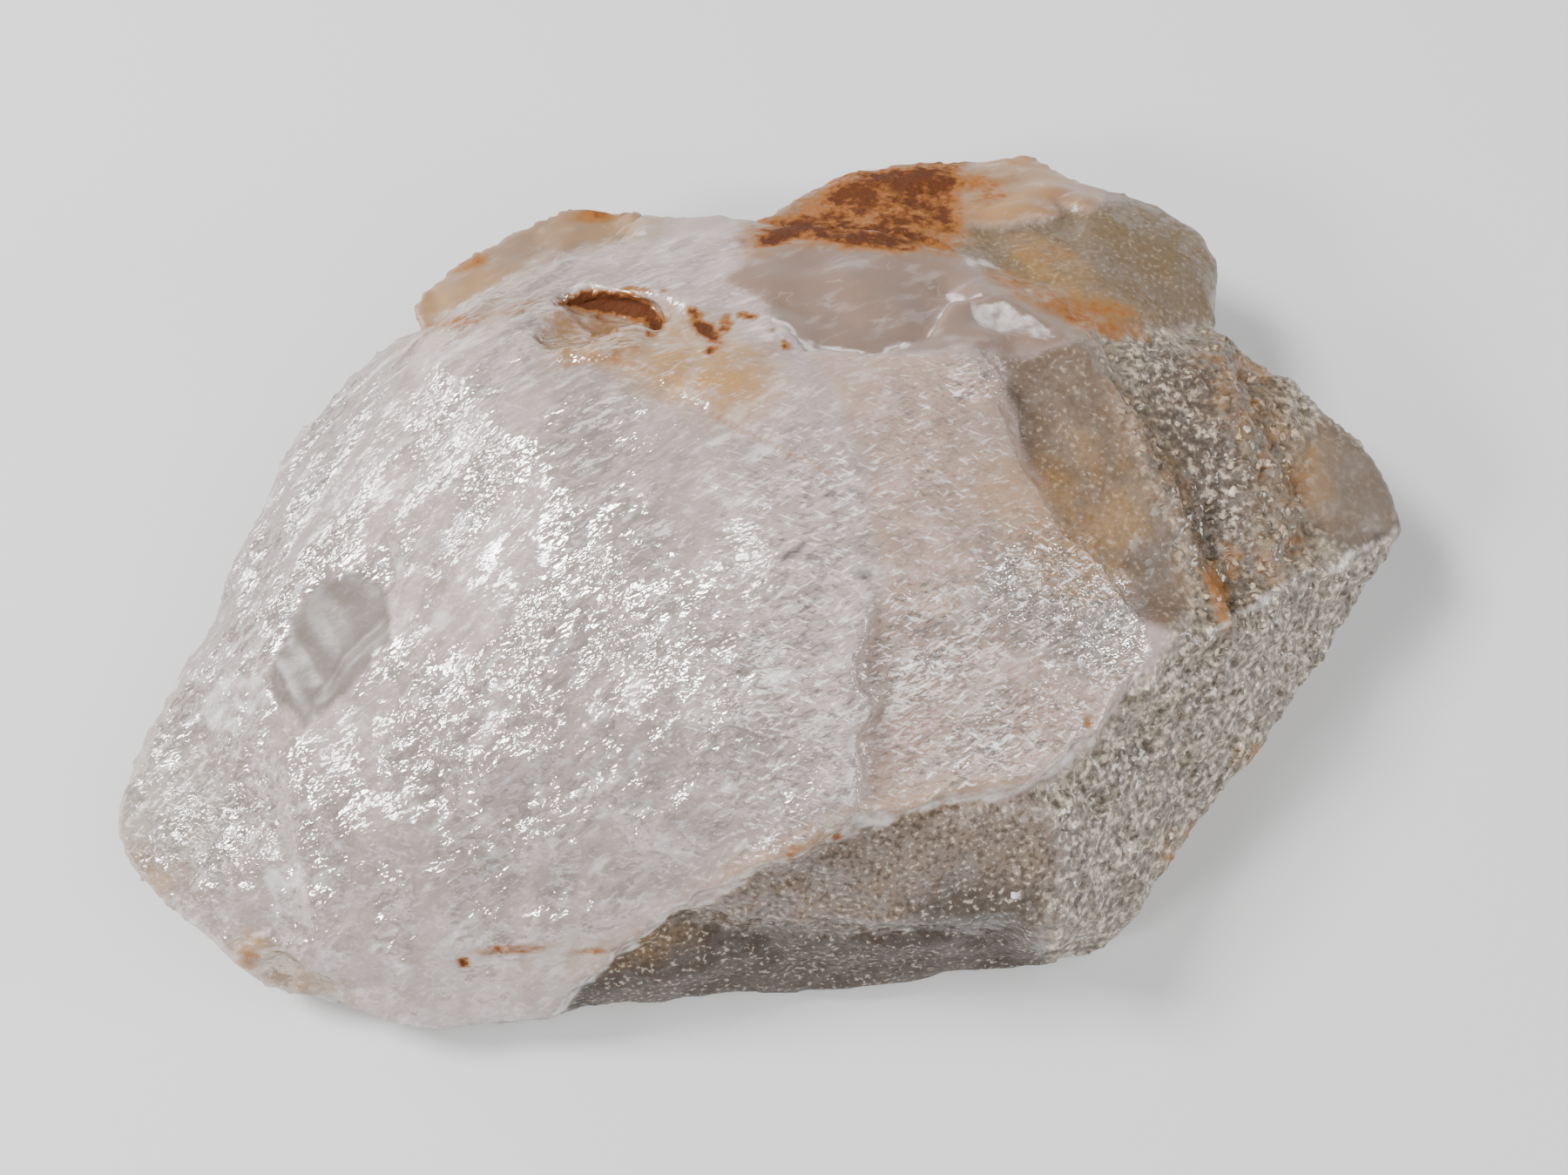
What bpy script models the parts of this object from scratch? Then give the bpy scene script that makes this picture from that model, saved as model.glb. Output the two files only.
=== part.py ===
"""Smoky quartz: one broken lump of cloudy quartz, built as a single solid.

Its frame: origin at the middle of the resting face, +Z up, +X along the long side, -Y to the
steep front wall, in metres. The sketches below are in millimetres.

The stone is sketched as it looks from one viewing point, high over its front. A sketch point is
(across, down) in a frame of 1800 x 1349 units, and a corner adds its height over the table in
millimetres. The functions find where the line of sight through the point is that high.

The shape comes in four steps: convex blocks joined, hollows scooped out, the skin stepped and
roughened, and the underside cut flat.
"""

import math

import bmesh
import bpy
import numpy as np
from mathutils import Euler, Matrix, Vector, noise

MM = 0.001

# The finished size of the stone. The sketches are close to it, and the last step makes it exact.
LENGTH = 69.6 * MM
WIDTH = 51.4 * MM
HEIGHT = 23.2 * MM

# The viewing point: how steeply it looks down, how far it stands from the point it looks at, and
# how many frame units away the frame itself would stand. The last is the scale of the sketch.
SIGHT_FALL = math.radians(69)
SIGHT_DISTANCE = 119
SIGHT_TARGET = np.array((0.5, 1.15, 0.0))
FRAME_MIDDLE = np.array((900, 674.5))
FRAME_DISTANCE = 2316
FRAME_UNITS_PER_MM = 21.5

VOXEL = 0.45
MAX_TRIANGLES = 11800
SWELL = 0.3
BROAD_RELIEF = 0.5
FINE_RELIEF = 0.22
GRAIN_RELIEF = 0.34
STEP_RELIEF = 0.8
SEED = Vector((11.3, 4.7, 8.1))

# The corners of each convex block, in named rings from its foot up: (across, down, height).
BLOCKS = {
    "body": {
        "girth": [
            (1000, 1128, 2.6), (1198, 1101, 3), (1268, 1064, 3.2), (1305, 1030, 3.5),
            (1336, 985, 3.8), (1372, 932, 4.1), (1428, 871, 4.5), (1468, 816, 4.9),
            (1512, 722, 5.4), (1541, 688, 5.8), (1590, 628, 6.4), (1601, 585, 7),
            (1564, 520, 7.6), (1490, 441, 8.4), (1400, 384, 9), (474, 368, 10.8),
            (447, 390, 11), (397, 426, 11), (358, 489, 11), (303, 606, 10.6), (186, 822, 8.6),
            (160, 872, 8.1), (143, 920, 7.6), (130, 960, 6.9), (148, 1003, 6.5),
            (183, 1034, 6.3), (280, 1074, 6), (300, 1112, 5), (350, 1134, 4.3),
            (443, 1168, 3.4), (500, 1180, 3),
        ],
        "front_wall": [
            (1190, 1060, 10), (870, 1000, 14.2), (990, 938, 17), (1090, 921, 16.6),
            (1183, 898, 15.9), (1255, 845, 15.3), (1318, 722, 15.4),
        ],
        "right_shoulder": [
            (1345, 560, 15.6), (1262, 400, 17), (1195, 378, 17.6), (1280, 660, 17),
        ],
        "crown": [
            (600, 700, 19.8), (750, 690, 21.9), (900, 650, 22.9), (1000, 640, 22.6),
            (1150, 640, 20.2), (520, 420, 17.6), (600, 400, 19), (680, 450, 21), (800, 430, 21.8),
            (950, 450, 21.9), (1080, 450, 20.6), (600, 500, 20.8), (500, 560, 18.6),
            (420, 580, 16.2),
        ],
        "dome_front": [
            (600, 770, 18.9), (700, 830, 18.9), (800, 780, 20.7), (960, 820, 19.9),
            (940, 900, 18.4), (700, 910, 16.6), (210, 930, 9.3), (330, 980, 10.3),
            (400, 1080, 7.8), (500, 1100, 7.8),
        ],
        "back_slope": [
            (560, 330, 14.4), (660, 290, 14), (742, 248, 10.4), (960, 266, 13.6),
            (1030, 272, 13.8), (1092, 290, 14), (1200, 338, 14.8),
        ],
    },
    "back_block": {
        "edge": [
            (862, 264, 9.2), (982, 200, 7), (1175, 185, 7), (1232, 205, 7.4), (1272, 220, 7.8),
            (1370, 270, 8.3), (1392, 305, 8.7), (1392, 370, 9.2),
        ],
        "top": [
            (1270, 385, 14.6), (1180, 345, 14.2), (1095, 292, 12.8), (1000, 272, 11.9),
            (1240, 234, 10.2), (870, 285, 10.4),
        ],
    },
    "back_rim": {
        "edge": [
            (470, 362, 10.2), (478, 338, 8.8), (500, 315, 8.4), (520, 298, 8.3),
            (620, 258, 8), (665, 244, 7.8), (730, 241, 8), (745, 250, 8),
        ],
        "top": [(700, 290, 10.8), (600, 320, 11.6), (520, 360, 11.4)],
    },
}

# The foot of each block, which the sketch doesn't show: (x, y, z), just below the table.
FEET = {
    "body": [
        (-12, -23.6, -1.5), (13.5, -20.3, -1.5), (20, -15.8, -1.5), (26, -8.5, -1.5),
        (30.5, -1.5, -1.5), (30.5, 4.5, -1.5), (27, 9, -1.5), (20, 12.5, -1.5),
        (-33, -13.5, -1.5), (-31, -17, -1.5), (-26, -20.5, -1.5), (-20, -23, -1.5),
        (-22.5, 8.5, -1.5), (-16, 13.5, -1.5), (-8, 16.2, -1.5), (4, 16.4, -1.5),
        (13, 15.5, -1.5),
    ],
    "back_block": [
        (5.5, 22.5, -1.5), (12, 23.6, -1.5), (19.5, 21.5, -1.5), (22.5, 17, -1.5),
        (20, 7, -1.5), (3, 12, -1.5),
    ],
    "back_rim": [
        (-17.5, 14.5, 1.5), (-14, 17.3, 1), (-8.5, 18.6, 1.2), (-5.5, 15, -1.5), (-17, 8, -1.5),
    ],
}

# Egg-shaped hollows: middle, half sizes, turns in degrees.
SCOOPS = {
    "pit": ((-8.0, 10.2, 17.6), (3.6, 1.7, 2.2), (-35, 0, -16)),
    "pit_lobe": ((-9.9, 8.8, 18.9), (3.0, 2.4, 1.7), (-25, -15, 8)),
    "chip": ((11.6, 9.9, 18.0), (2.4, 1.3, 1.4), (-25, 8, 6)),
    "notch_right": ((31.0, 10.3, 8.2), (1.2, 1.3, 4.5), (0, 0, 30)),
    "notch_back": ((26.4, 15.4, 8.3), (1.7, 1.9, 6.0), (0, 0, 10)),
    "notch_low_right": ((29.4, -6.6, 5.2), (1.0, 1.5, 4.5), (0, 0, -30)),
    "notch_flank": ((25.4, -11.8, 4.6), (0.8, 1.0, 3.0), (0, 0, -30)),
    "notch_front_right": ((21.9, -16.2, 4.0), (0.7, 0.9, 3.2), (0, 0, -20)),
    "notch_front_left": ((-28.4, -22.4, 5.6), (0.8, 1.0, 3.0), (0, 0, 30)),
    "notch_left": ((-24.2, 12.0, 9.8), (0.8, 0.9, 3.0), (0, 0, -30)),
    "back_shell": ((0.5, 25.0, -1.0), (7.0, 8.0, 8.0), (20, 0, -8)),
    "back_left_shell": ((-22.5, 15.5, -2.0), (8.0, 5.0, 7.5), (15, 10, 35)),
    "left_shell": ((-36.5, -4.0, -2.0), (6.0, 10.0, 8.0), (0, 20, -22)),
    "right_shell": ((35.5, 8.0, -2.5), (6.5, 8.0, 7.0), (0, -20, 25)),
    "under_back_block": ((16.0, 27.0, -1.0), (9.0, 5.0, 5.5), (15, 0, -12)),
}

# A ledge: its line on the sketch, how far the ground drops on its right (on its left when
# negative), half the width of the step, how far the lowered ground reaches, and how soon its ends
# fade in.
LEDGES = {
    "dome_lip": (
        [(1010, 690), (985, 750), (1002, 805), (984, 858), (998, 905), (985, 945)],
        -0.9, 0.5, 9, 3,
    ),
    "plate_edge": (
        [(1118, 388), (1150, 425), (1163, 480), (1176, 520), (1204, 572), (1230, 605),
        (1262, 645), (1302, 688), (1322, 730)],
        -1.3, 0.5, 4.5, 2.5,
    ),
    "inner_crest": (
        [(1245, 372), (1275, 440), (1318, 500), (1345, 560), (1378, 620), (1402, 690),
        (1412, 735)],
        -1.2, 0.6, 3, 2.5,
    ),
    "outer_crest": (
        [(1395, 395), (1432, 470), (1470, 540), (1485, 600), (1470, 660)], -0.8, 0.6, 2.5, 2,
    ),
    "facet_chip": (
        [(900, 372), (960, 398), (1010, 408), (1060, 385), (1090, 352), (1135, 335)],
        -0.6, 0.4, 3, 2,
    ),
    "front_break": (
        [(745, 1056), (830, 1068), (930, 1070), (1040, 1062), (1120, 1064), (1185, 1052)],
        0.8, 0.4, 6, 2.5,
    ),
    "dome_foot": (
        [(628, 1166), (700, 1106), (765, 1052), (870, 1003), (990, 940), (1090, 923),
        (1183, 899), (1255, 848), (1305, 775)],
        0.6, 0.35, 4, 2,
    ),
    "lobe_edge": (
        [(335, 1100), (352, 1040), (346, 980), (330, 920), (322, 862)], -0.5, 0.5, 5, 2,
    ),
    "back_crack": ([(1105, 262), (1160, 252), (1200, 244), (1245, 232)], 0.6, 0.4, 3, 1.5),
    "chip_low_left": ([(292, 1084), (335, 1098), (372, 1122), (425, 1172)], 0.8, 0.4, 3, 1.5),
    "cheek": (
        [(470, 640), (450, 700), (400, 760), (352, 830), (300, 800), (318, 760)],
        0.5, 0.4, 3, 1.5,
    ),
    "rim_foot": (
        [(745, 262), (690, 276), (620, 300), (560, 335), (500, 372), (450, 392)],
        0.7, 0.6, 3, 2,
    ),
}

# A ridge: its line on the sketch, its height and its half width.
RIDGES = {
    "dome_rim": (
        [(650, 1140), (700, 1100), (765, 1045), (870, 995), (985, 932), (1090, 914),
        (1180, 890), (1250, 838)],
        0.25, 0.9,
    ),
    "front_corner": ([(1190, 905), (1212, 960), (1208, 1020), (1203, 1090)], 0.5, 1.6),
    "crest_one": (
        [(1262, 420), (1300, 480), (1335, 545), (1362, 600), (1392, 660), (1405, 700)],
        0.45, 0.9,
    ),
    "crest_two": ([(1392, 440), (1422, 500), (1440, 560), (1462, 610), (1478, 660)], 0.5, 1),
    "tip_ridge": ([(1600, 605), (1540, 640), (1470, 680), (1405, 720), (1330, 742)], 0.5, 1.3),
}

# The outline, on the sketch, of the sugary broken side.
GRAIN_AREA = [
    (1245, 372), (1275, 440), (1300, 520), (1330, 600), (1350, 680), (1330, 740), (1260, 850),
    (1190, 905), (1090, 928), (990, 945), (870, 1005), (765, 1055), (610, 1172), (1000, 1150),
    (1210, 1130), (1310, 1090), (1450, 900), (1560, 745), (1625, 600), (1560, 480), (1480, 400),
    (1395, 365),
]


def clear_scene():
    for obj in list(bpy.data.objects):
        bpy.data.objects.remove(obj)


def new_object(name, bm):
    mesh = bpy.data.meshes.new(name)
    bm.to_mesh(mesh)
    bm.free()
    obj = bpy.data.objects.new(name, mesh)
    bpy.context.scene.collection.objects.link(obj)
    return obj


def sight():
    """The viewing point and its directions right, up and ahead, in millimetres."""
    right = np.array((1, 0, 0))
    up = np.array((0, math.sin(SIGHT_FALL), math.cos(SIGHT_FALL)))
    ahead = np.array((0, math.cos(SIGHT_FALL), -math.sin(SIGHT_FALL)))
    return SIGHT_TARGET - SIGHT_DISTANCE * ahead, right, up, ahead


def corner_place(across, down, height):
    """Where the line of sight through a sketch point is this high."""
    eye, right, up, ahead = sight()
    aside, above = (np.array((across, down)) - FRAME_MIDDLE) * (1, -1) / FRAME_DISTANCE
    line = ahead + aside * right + above * up
    return eye + line * (height - eye[2]) / line[2]


def on_sketch(points):
    """Where each point falls on the sketch, in millimetres across and up from its middle."""
    eye, right, up, ahead = sight()
    offsets = points - eye
    flat = np.stack([offsets @ right, offsets @ up], 1)
    return FRAME_DISTANCE / FRAME_UNITS_PER_MM * flat / (offsets @ ahead)[:, None]


def sketch_line(frame_points):
    """The same measure for points given in frame units."""
    return (np.array(frame_points) - FRAME_MIDDLE) * (1, -1) / FRAME_UNITS_PER_MM


def facing_sight(normals):
    """1 where the skin faces the viewing point, 0 where it faces away."""
    return smoothstep(0.05, 0.4, -(normals @ sight()[3]))


def hull_block(name, corners):
    """The convex block with these corners."""
    bm = bmesh.new()
    points = [bm.verts.new(Vector(corner) * MM) for corner in corners]
    found = bmesh.ops.convex_hull(bm, input=points)
    spare = found["geom_interior"] + found["geom_unused"]
    inside = [item for item in spare if isinstance(item, bmesh.types.BMVert)]
    bmesh.ops.delete(bm, geom=list(set(inside)), context="VERTS")
    bmesh.ops.recalc_face_normals(bm, faces=bm.faces)
    return new_object(name, bm)


def scoop(name, middle, half_sizes, turns):
    """An egg-shaped cutter."""
    turn = Euler([math.radians(angle) for angle in turns]).to_matrix().to_4x4()
    place = Matrix.Translation(Vector(middle) * MM) @ turn @ Matrix.Diagonal((*half_sizes, 1))
    bm = bmesh.new()
    bmesh.ops.create_icosphere(bm, subdivisions=3, radius=MM, matrix=place)
    return new_object(name, bm)


def apply_modifiers(obj):
    graph = bpy.context.evaluated_depsgraph_get()
    mesh = bpy.data.meshes.new_from_object(obj.evaluated_get(graph))
    obj.modifiers.clear()
    obj.data = mesh


def combine(obj, other, operation):
    step = obj.modifiers.new(operation.lower(), "BOOLEAN")
    step.operation = operation
    step.object = other
    step.solver = "EXACT"
    apply_modifiers(obj)
    bpy.data.objects.remove(other)


def joined_blocks():
    """All the blocks joined into one body."""
    body = None
    for name, rings in BLOCKS.items():
        corners = [corner_place(*corner) for ring in rings.values() for corner in ring]
        block = hull_block(name, corners + FEET[name])
        if body is None:
            body = block
        else:
            combine(body, block, "UNION")
    return body


def even_mesh(obj):
    """Covers the body with small even faces, so that its skin can be worked."""
    remesh = obj.modifiers.new("remesh", "REMESH")
    remesh.mode = "VOXEL"
    remesh.voxel_size = VOXEL * MM
    apply_modifiers(obj)


def smoothstep(low, high, value):
    share = np.clip((value - low) / (high - low), 0, 1)
    return share * share * (3 - 2 * share)


def lumps(points, size, octaves=3, seed=0):
    """Soft random heights from -1 to 1, with lumps of this size."""
    shift = SEED + Vector((seed * 7.7, seed * 3.1, -seed * 5.3))
    heights = [noise.fractal(Vector(p) / size + shift, 1.0, 2.1, octaves) for p in points]
    return np.array(heights)


def beside_line(points, line):
    """How far each point lies to the right of a line, how far along its chord, and the chord."""
    nearest = np.full(len(points), np.inf)
    side = np.zeros(len(points))
    for start, end in zip(line[:-1], line[1:]):
        step = end - start
        to_point = points - start
        share = np.clip(to_point @ step / (step @ step), 0, 1)
        away = np.hypot(*(to_point - share[:, None] * step).T)
        turn = step[1] * to_point[:, 0] - step[0] * to_point[:, 1]
        side = np.where(away < nearest, np.sign(turn) * away, side)
        nearest = np.minimum(away, nearest)
    chord = line[-1] - line[0]
    length = np.hypot(*chord)
    return side, (points - line[0]) @ chord / length, length


def end_taper(along, length, taper):
    return smoothstep(0, taper, along) * smoothstep(0, taper, length - along)


def inside_area(points, ring, soft):
    """1 inside a closed outline, 0 outside, soft across its edge."""
    within = np.zeros(len(points), bool)
    nearest = np.full(len(points), np.inf)
    for start, end in zip(ring, np.roll(ring, -1, axis=0)):
        step = end - start
        to_point = points - start
        share = np.clip(to_point @ step / (step @ step), 0, 1)
        nearest = np.minimum(nearest, np.hypot(*(to_point - share[:, None] * step).T))
        spans = (start[1] > points[:, 1]) != (end[1] > points[:, 1])
        across = start[0] + step[0] * (points[:, 1] - start[1]) / (step[1] if step[1] else 1e-9)
        within ^= spans & (points[:, 0] < across)
    return smoothstep(-soft, soft, np.where(within, nearest, -nearest))


def skin_heights(points, normals):
    """How far the skin moves outward at each point."""
    facing = facing_sight(normals)
    drawn = on_sketch(points)
    wobble = np.stack([lumps(points, 2.2, 2, 1), lumps(points, 2.2, 2, 2)], 1)
    drawn = drawn + 0.55 * wobble
    height = np.zeros(len(points))
    for line, drop, edge, fade, taper in LEDGES.values():
        side, along, length = beside_line(drawn, sketch_line(line))
        side = side * np.sign(drop)
        lowered = smoothstep(-edge, edge, side) * np.exp(-((np.maximum(side, 0) / fade) ** 2))
        height -= abs(drop) * lowered * end_taper(along, length, taper)
    for line, rise, width in RIDGES.values():
        side, along, length = beside_line(drawn, sketch_line(line))
        height += rise * np.exp(-((side / width) ** 2)) * end_taper(along, length, 1.5)
    height *= facing
    grain = inside_area(on_sketch(points), sketch_line(GRAIN_AREA), 1.2) * facing
    height += SWELL + BROAD_RELIEF * lumps(points, 9.0, 2, 3)
    height += FINE_RELIEF * lumps(points * (1.0, 1.0, 1.4), 3.2, 3, 4) * (1 - 0.5 * grain)
    height += GRAIN_RELIEF * lumps(points, 1.9, 3, 5) * grain
    steps = 3.0 * lumps(points * (0.8, 0.8, 1.3), 7.0, 2, 6)
    stepped = np.floor(steps) + smoothstep(0.7, 1.0, steps - np.floor(steps))
    height += STEP_RELIEF * stepped / 3.0 * (1 - facing)
    return height


def work_skin(obj):
    """Steps, ridges and roughens the skin."""
    mesh = obj.data
    count = len(mesh.vertices)
    points = np.empty(count * 3)
    normals = np.empty(count * 3)
    mesh.vertices.foreach_get("co", points)
    mesh.vertices.foreach_get("normal", normals)
    points = points.reshape(-1, 3) / MM
    normals = normals.reshape(-1, 3)
    moved = points + normals * skin_heights(points, normals)[:, None]
    mesh.vertices.foreach_set("co", (moved * MM).ravel())
    mesh.update()


def lighten(obj):
    """Takes the mesh down to its triangle limit, most where it is flat."""
    step = obj.modifiers.new("lighten", "DECIMATE")
    step.use_collapse_triangulate = True
    triangles = sum(len(face.vertices) - 2 for face in obj.data.polygons)
    step.ratio = min(1.0, MAX_TRIANGLES / triangles)
    apply_modifiers(obj)


def cut_base(obj):
    """Cuts the underside flat at z = 0 and closes it."""
    bm = bmesh.new()
    bm.from_mesh(obj.data)
    everything = bm.verts[:] + bm.edges[:] + bm.faces[:]
    bmesh.ops.bisect_plane(
        bm, geom=everything, dist=1e-7, plane_co=(0, 0, 0), plane_no=(0, 0, 1), clear_inner=True
    )
    rim = [edge for edge in bm.edges if edge.is_boundary]
    bmesh.ops.holes_fill(bm, edges=rim, sides=0)
    bmesh.ops.triangulate(bm, faces=bm.faces)
    bm.to_mesh(obj.data)
    bm.free()


def set_size(obj):
    """Centres the stone over the origin and gives it its exact size."""
    count = len(obj.data.vertices)
    points = np.empty(count * 3)
    obj.data.vertices.foreach_get("co", points)
    points = points.reshape(-1, 3)
    low = points.min(axis=0)
    high = points.max(axis=0)
    middle = (low + high) / 2 * (1, 1, 0)
    points = (points - middle) * (LENGTH, WIDTH, HEIGHT) / (high - low)
    obj.data.vertices.foreach_set("co", points.ravel())
    obj.data.update()


def quartz_material():
    material = bpy.data.materials.new("smoky_quartz")
    material.use_nodes = True
    shader = material.node_tree.nodes["Principled BSDF"]
    shader.inputs["Base Color"].default_value = (0.62, 0.57, 0.53, 1)
    shader.inputs["Roughness"].default_value = 0.3
    shader.inputs["Metallic"].default_value = 0.0
    return material


def main():
    clear_scene()
    quartz = joined_blocks()
    for name, (middle, half_sizes, turns) in SCOOPS.items():
        combine(quartz, scoop(name, middle, half_sizes, turns), "DIFFERENCE")
    even_mesh(quartz)
    work_skin(quartz)
    lighten(quartz)
    cut_base(quartz)
    set_size(quartz)
    quartz.name = "quartz"
    quartz.data.name = "quartz"
    quartz.data.materials.append(quartz_material())


if __name__ == "__main__":
    main()
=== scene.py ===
import math

import bmesh
import bpy
import numpy as np
from bpy.props import FloatProperty, FloatVectorProperty, IntProperty, PointerProperty
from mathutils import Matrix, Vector, noise


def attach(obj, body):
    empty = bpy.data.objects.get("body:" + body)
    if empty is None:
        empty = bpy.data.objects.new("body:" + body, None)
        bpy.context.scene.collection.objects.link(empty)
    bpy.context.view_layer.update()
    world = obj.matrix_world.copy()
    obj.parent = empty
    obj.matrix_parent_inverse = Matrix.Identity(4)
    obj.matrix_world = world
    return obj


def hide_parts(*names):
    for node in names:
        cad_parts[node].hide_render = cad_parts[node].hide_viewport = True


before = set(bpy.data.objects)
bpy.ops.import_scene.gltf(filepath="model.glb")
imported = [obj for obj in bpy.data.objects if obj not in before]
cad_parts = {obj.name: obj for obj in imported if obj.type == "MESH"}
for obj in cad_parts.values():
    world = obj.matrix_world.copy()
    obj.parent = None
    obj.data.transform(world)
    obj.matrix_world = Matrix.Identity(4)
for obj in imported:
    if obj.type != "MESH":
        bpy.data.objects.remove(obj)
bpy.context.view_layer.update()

bl_info = {
    "name": "Smoky Quartz",
    "version": (1, 0, 0),
    "blender": (4, 5, 0),
    "location": "3D View > Sidebar > Quartz",
    "description": "Finishes a rough lump of cloudy smoky quartz and sets the stage it lies on",
    "category": "Add Mesh",
}

MM = 0.001

# The stone's features are sketched as they look from one viewing point, where the camera stands.
# A sketch point is (across, down) in a frame of 1800 x 1349 units. FRAME_DISTANCE is how far away
# the frame itself would stand, in its own units.
SIGHT_FALL = math.radians(69)
SIGHT_DISTANCE = 119
SKETCH_ORIGIN = np.array((0.068, 0.55, 0.0))
SIGHT_TARGET = np.array((0.5, 1.15, 0.0)) - SKETCH_ORIGIN
FRAME_WIDTH = 1800
FRAME_MIDDLE = np.array((900, 674.5))
FRAME_DISTANCE = 2316
FRAME_UNITS_PER_MM = 21.5
SENSOR = 36

SEED = Vector((11.3, 4.7, 8.1))

# Closed outlines of the stone's different surfaces.
AREAS = {
    "dome": [
        (100, 960), (140, 860), (220, 700), (280, 590), (330, 480), (385, 395), (470, 380),
        (505, 372), (560, 335), (640, 300), (760, 262), (858, 262), (835, 318), (900, 372),
        (930, 395), (965, 470), (1000, 560), (1012, 690), (985, 750), (1002, 805), (984, 858),
        (998, 905), (990, 938), (870, 1000), (765, 1050), (600, 1190), (480, 1215), (260, 1120),
    ],
    "plate": [
        (930, 395), (1000, 412), (1110, 392), (1150, 415), (1167, 490), (1202, 570), (1262, 640),
        (1312, 690), (1320, 722), (1300, 790), (1255, 845), (1183, 897), (1090, 921), (990, 938),
        (998, 905), (984, 858), (1002, 805), (985, 750), (1012, 690), (1000, 560), (965, 470),
    ],
    "band": [
        (1150, 415), (1245, 385), (1275, 450), (1300, 500), (1330, 560), (1355, 620), (1370, 690),
        (1345, 735), (1320, 722), (1312, 690), (1262, 640), (1202, 570), (1167, 490),
    ],
    "back_facet": [
        (835, 325), (868, 283), (960, 265), (1090, 290), (1200, 340), (1250, 380), (1150, 412),
        (1110, 390), (1000, 412), (930, 395), (895, 368),
    ],
    "rim": [
        (420, 400), (460, 355), (470, 330), (540, 280), (615, 240), (665, 225), (752, 228),
        (762, 262), (640, 300), (560, 335), (500, 372),
    ],
    "rust_wall": [
        (850, 282), (866, 252), (930, 226), (948, 205), (980, 180), (1110, 174), (1105, 262),
        (1092, 292), (1030, 275), (960, 265), (870, 283),
    ],
    "cream": [
        (1108, 174), (1185, 166), (1245, 192), (1285, 214), (1245, 234), (1180, 248), (1100, 264),
    ],
    "green": [
        (1100, 264), (1180, 248), (1245, 234), (1285, 210), (1340, 232), (1412, 292), (1412, 372),
        (1290, 378), (1200, 340), (1092, 290),
    ],
    # Painted shade: the dome's steep left side is painted darker than the dome, standing in for
    # shade there.
    "shaded_left_flank": [
        (120, 900), (220, 700), (280, 590), (330, 480), (385, 395), (470, 380), (430, 500),
        (390, 600), (330, 700), (290, 800), (250, 900),
    ],
    "cheek": [
        (405, 650), (446, 680), (448, 735), (402, 790), (350, 832), (308, 796), (314, 752),
        (338, 712), (375, 668),
    ],
    "wall": [
        (600, 1190), (765, 1052), (870, 1002), (990, 940), (1090, 923), (1190, 905), (1214, 990),
        (1200, 1060), (1215, 1140), (1000, 1170),
    ],
    "low_wall": [
        (590, 1200), (748, 1058), (830, 1068), (930, 1070), (1040, 1062), (1120, 1064),
        (1185, 1052), (1215, 1140), (1000, 1170),
    ],
    "sugar": [
        (1245, 385), (1275, 440), (1296, 500), (1326, 560), (1352, 620), (1370, 690), (1345, 735),
        (1310, 775), (1260, 850), (1190, 905), (1214, 990), (1200, 1060), (1208, 1130),
        (1310, 1110), (1450, 920), (1570, 765), (1660, 600), (1580, 460), (1490, 370),
        (1400, 350), (1395, 372), (1290, 382),
    ],
    "plate_shade": [
        (1130, 650), (1200, 640), (1270, 670), (1290, 720), (1250, 770), (1170, 740), (1120, 700),
    ],
    "wall_shade": [
        (1040, 1036), (1085, 1012), (1150, 1008), (1200, 1022), (1206, 1060), (1120, 1078),
        (1045, 1070),
    ],
    "trough": [
        (1318, 400), (1392, 420), (1420, 480), (1440, 540), (1452, 620), (1440, 690), (1410, 700),
        (1385, 640), (1352, 570), (1325, 500),
    ],
    "tip_facet": [
        (1510, 478), (1590, 515), (1640, 575), (1610, 612), (1545, 640), (1505, 610), (1490, 560),
        (1495, 520),
    ],
    "pit": [
        (640, 348), (668, 332), (705, 333), (742, 346), (765, 368), (760, 381), (735, 370),
        (700, 362), (668, 356),
    ],
    "lobe": [
        (622, 362), (650, 350), (668, 358), (700, 364), (735, 372), (748, 385), (735, 410),
        (700, 418), (660, 418), (630, 400),
    ],
    "tip": [
        (110, 960), (150, 860), (205, 850), (262, 905), (268, 960), (240, 1010), (205, 1040),
        (150, 1030),
    ],
    "white_facet": [
        (1118, 343), (1150, 350), (1185, 364), (1218, 386), (1180, 388), (1148, 390), (1128, 380),
    ],
    "low_tip": [(278, 1098), (300, 1082), (350, 1100), (395, 1130), (430, 1175), (350, 1160)],
    # Painted highlight: two patches painted white where the dome's glints cluster.
    "painted_glint_patch": [
        (225, 800), (262, 768), (302, 762), (312, 788), (296, 815), (262, 846), (236, 838),
    ],
    "low_painted_glint_patch": [(300, 1000), (330, 985), (352, 1000), (346, 1035), (325, 1062), (300, 1050)],
}

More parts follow.
